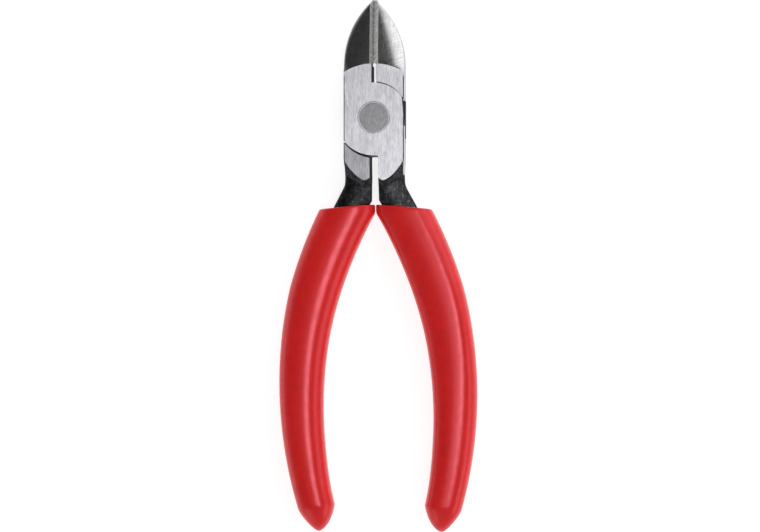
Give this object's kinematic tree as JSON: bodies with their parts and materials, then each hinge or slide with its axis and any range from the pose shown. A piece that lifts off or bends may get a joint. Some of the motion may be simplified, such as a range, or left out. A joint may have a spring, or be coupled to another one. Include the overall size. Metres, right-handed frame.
{
  "type": "diagonal cutting pliers",
  "caption": "Small diagonal cutting pliers with a bullet-shaped head, a flush riveted lap joint, dark forged shanks and bowed, dipped vinyl grips.",
  "frame": {"origin": "on the pivot's axis, in the plane of the joint's rear ground face, which the closed tool rests on", "axes": "+Y from the pivot to the jaw tips, +X to the right seen from the front, +Z out of the front face"},
  "size_m": [0.0518, 0.14, 0.0095],
  "materials": {
    "forged_steel": "lengthwise ground flats, polished jaws and black oxide shanks",
    "rivet_steel": "ground flush with the faces of the joint",
    "grip_vinyl": "smooth dipped vinyl with a soft sheen"
  },
  "bodies": {
    "rear_half": {"rear_lever": "forged_steel", "left_grip": "grip_vinyl", "pivot_rivet": "rivet_steel"},
    "front_half": {"front_lever": "forged_steel", "right_grip": "grip_vinyl"}
  },
  "joints": [
    {"name": "pivot", "type": "hinge", "parent": "rear_half", "child": "front_half", "pos_m": [0, 0, 0], "axis": [0, 0, 1], "range_deg": [0, 28]}
  ]
}
